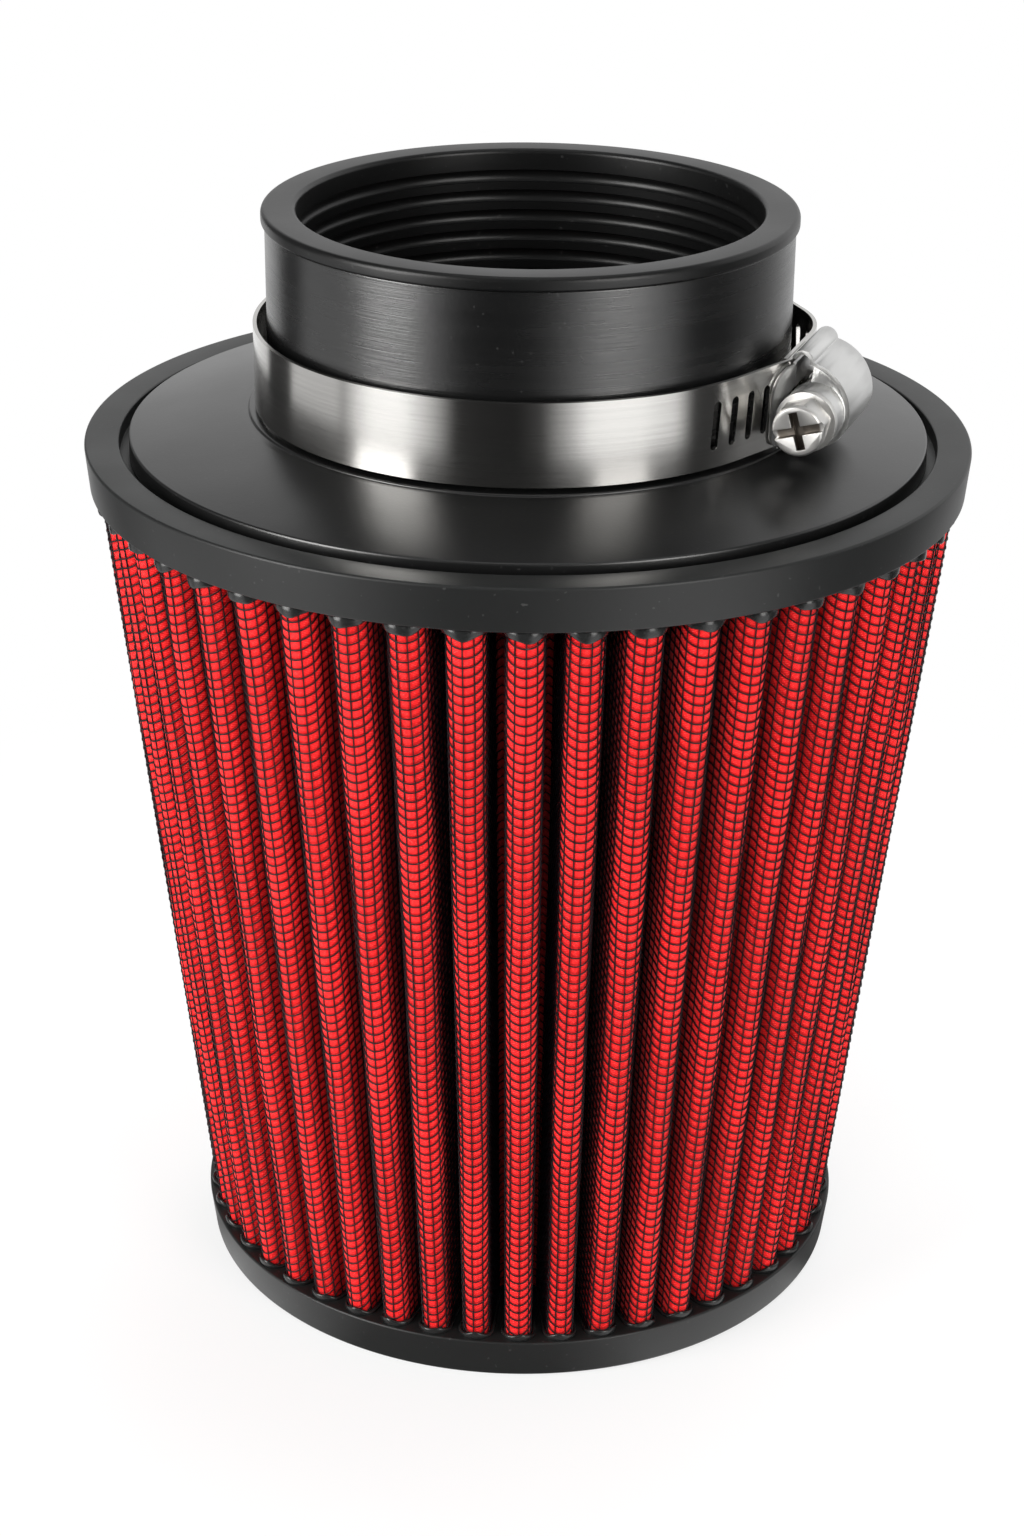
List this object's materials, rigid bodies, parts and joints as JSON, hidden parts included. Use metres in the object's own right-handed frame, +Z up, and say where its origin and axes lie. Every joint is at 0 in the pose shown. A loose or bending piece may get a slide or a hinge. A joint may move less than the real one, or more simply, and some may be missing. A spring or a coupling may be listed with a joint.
{
  "type": "clamp-on cone air filter",
  "caption": "Clamp-on cone air filter: pleated cotton between wire screens, moulded rubber ends and an inlet neck held on its pipe by a worm-drive hose clamp.",
  "frame": {"origin": "centre of the closed cap's lower face, on the filter's axis", "axes": "+Z up the filter's axis from the closed narrow end to the open neck; the clamp's screw is on the +X side, and its head faces -Y, the side that the picture shows"},
  "size_m": [0.1478, 0.1478, 0.1895],
  "materials": {
    "neck_plastic": "satin black",
    "neck_rubber": "matte black",
    "ring_rubber": "matte dark grey",
    "cap_rubber": "matte dark grey",
    "cotton": "oiled red cotton gauze",
    "wire": "black coated wire",
    "band_steel": "polished stainless steel",
    "housing_steel": "polished steel sheet",
    "screw_steel": "bright plated steel"
  },
  "bodies": {
    "filter": {"neck_flange": "neck_plastic", "neck_sleeve": "neck_rubber", "top_ring": "ring_rubber", "pleated_media": "cotton", "outer_screen": "wire", "inner_screen": "wire", "base_cap": "cap_rubber", "clamp_band": "band_steel", "clamp_saddle": "housing_steel", "clamp_housing": "housing_steel"},
    "screw": {"clamp_screw": "screw_steel"}
  },
  "joints": [
    {"name": "clamp_screw", "type": "hinge", "parent": "filter", "child": "screw", "pos_m": [0.04802, -0.01748, 0.16272], "axis": [0.342, 0.9397, 0], "continuous": true}
  ]
}
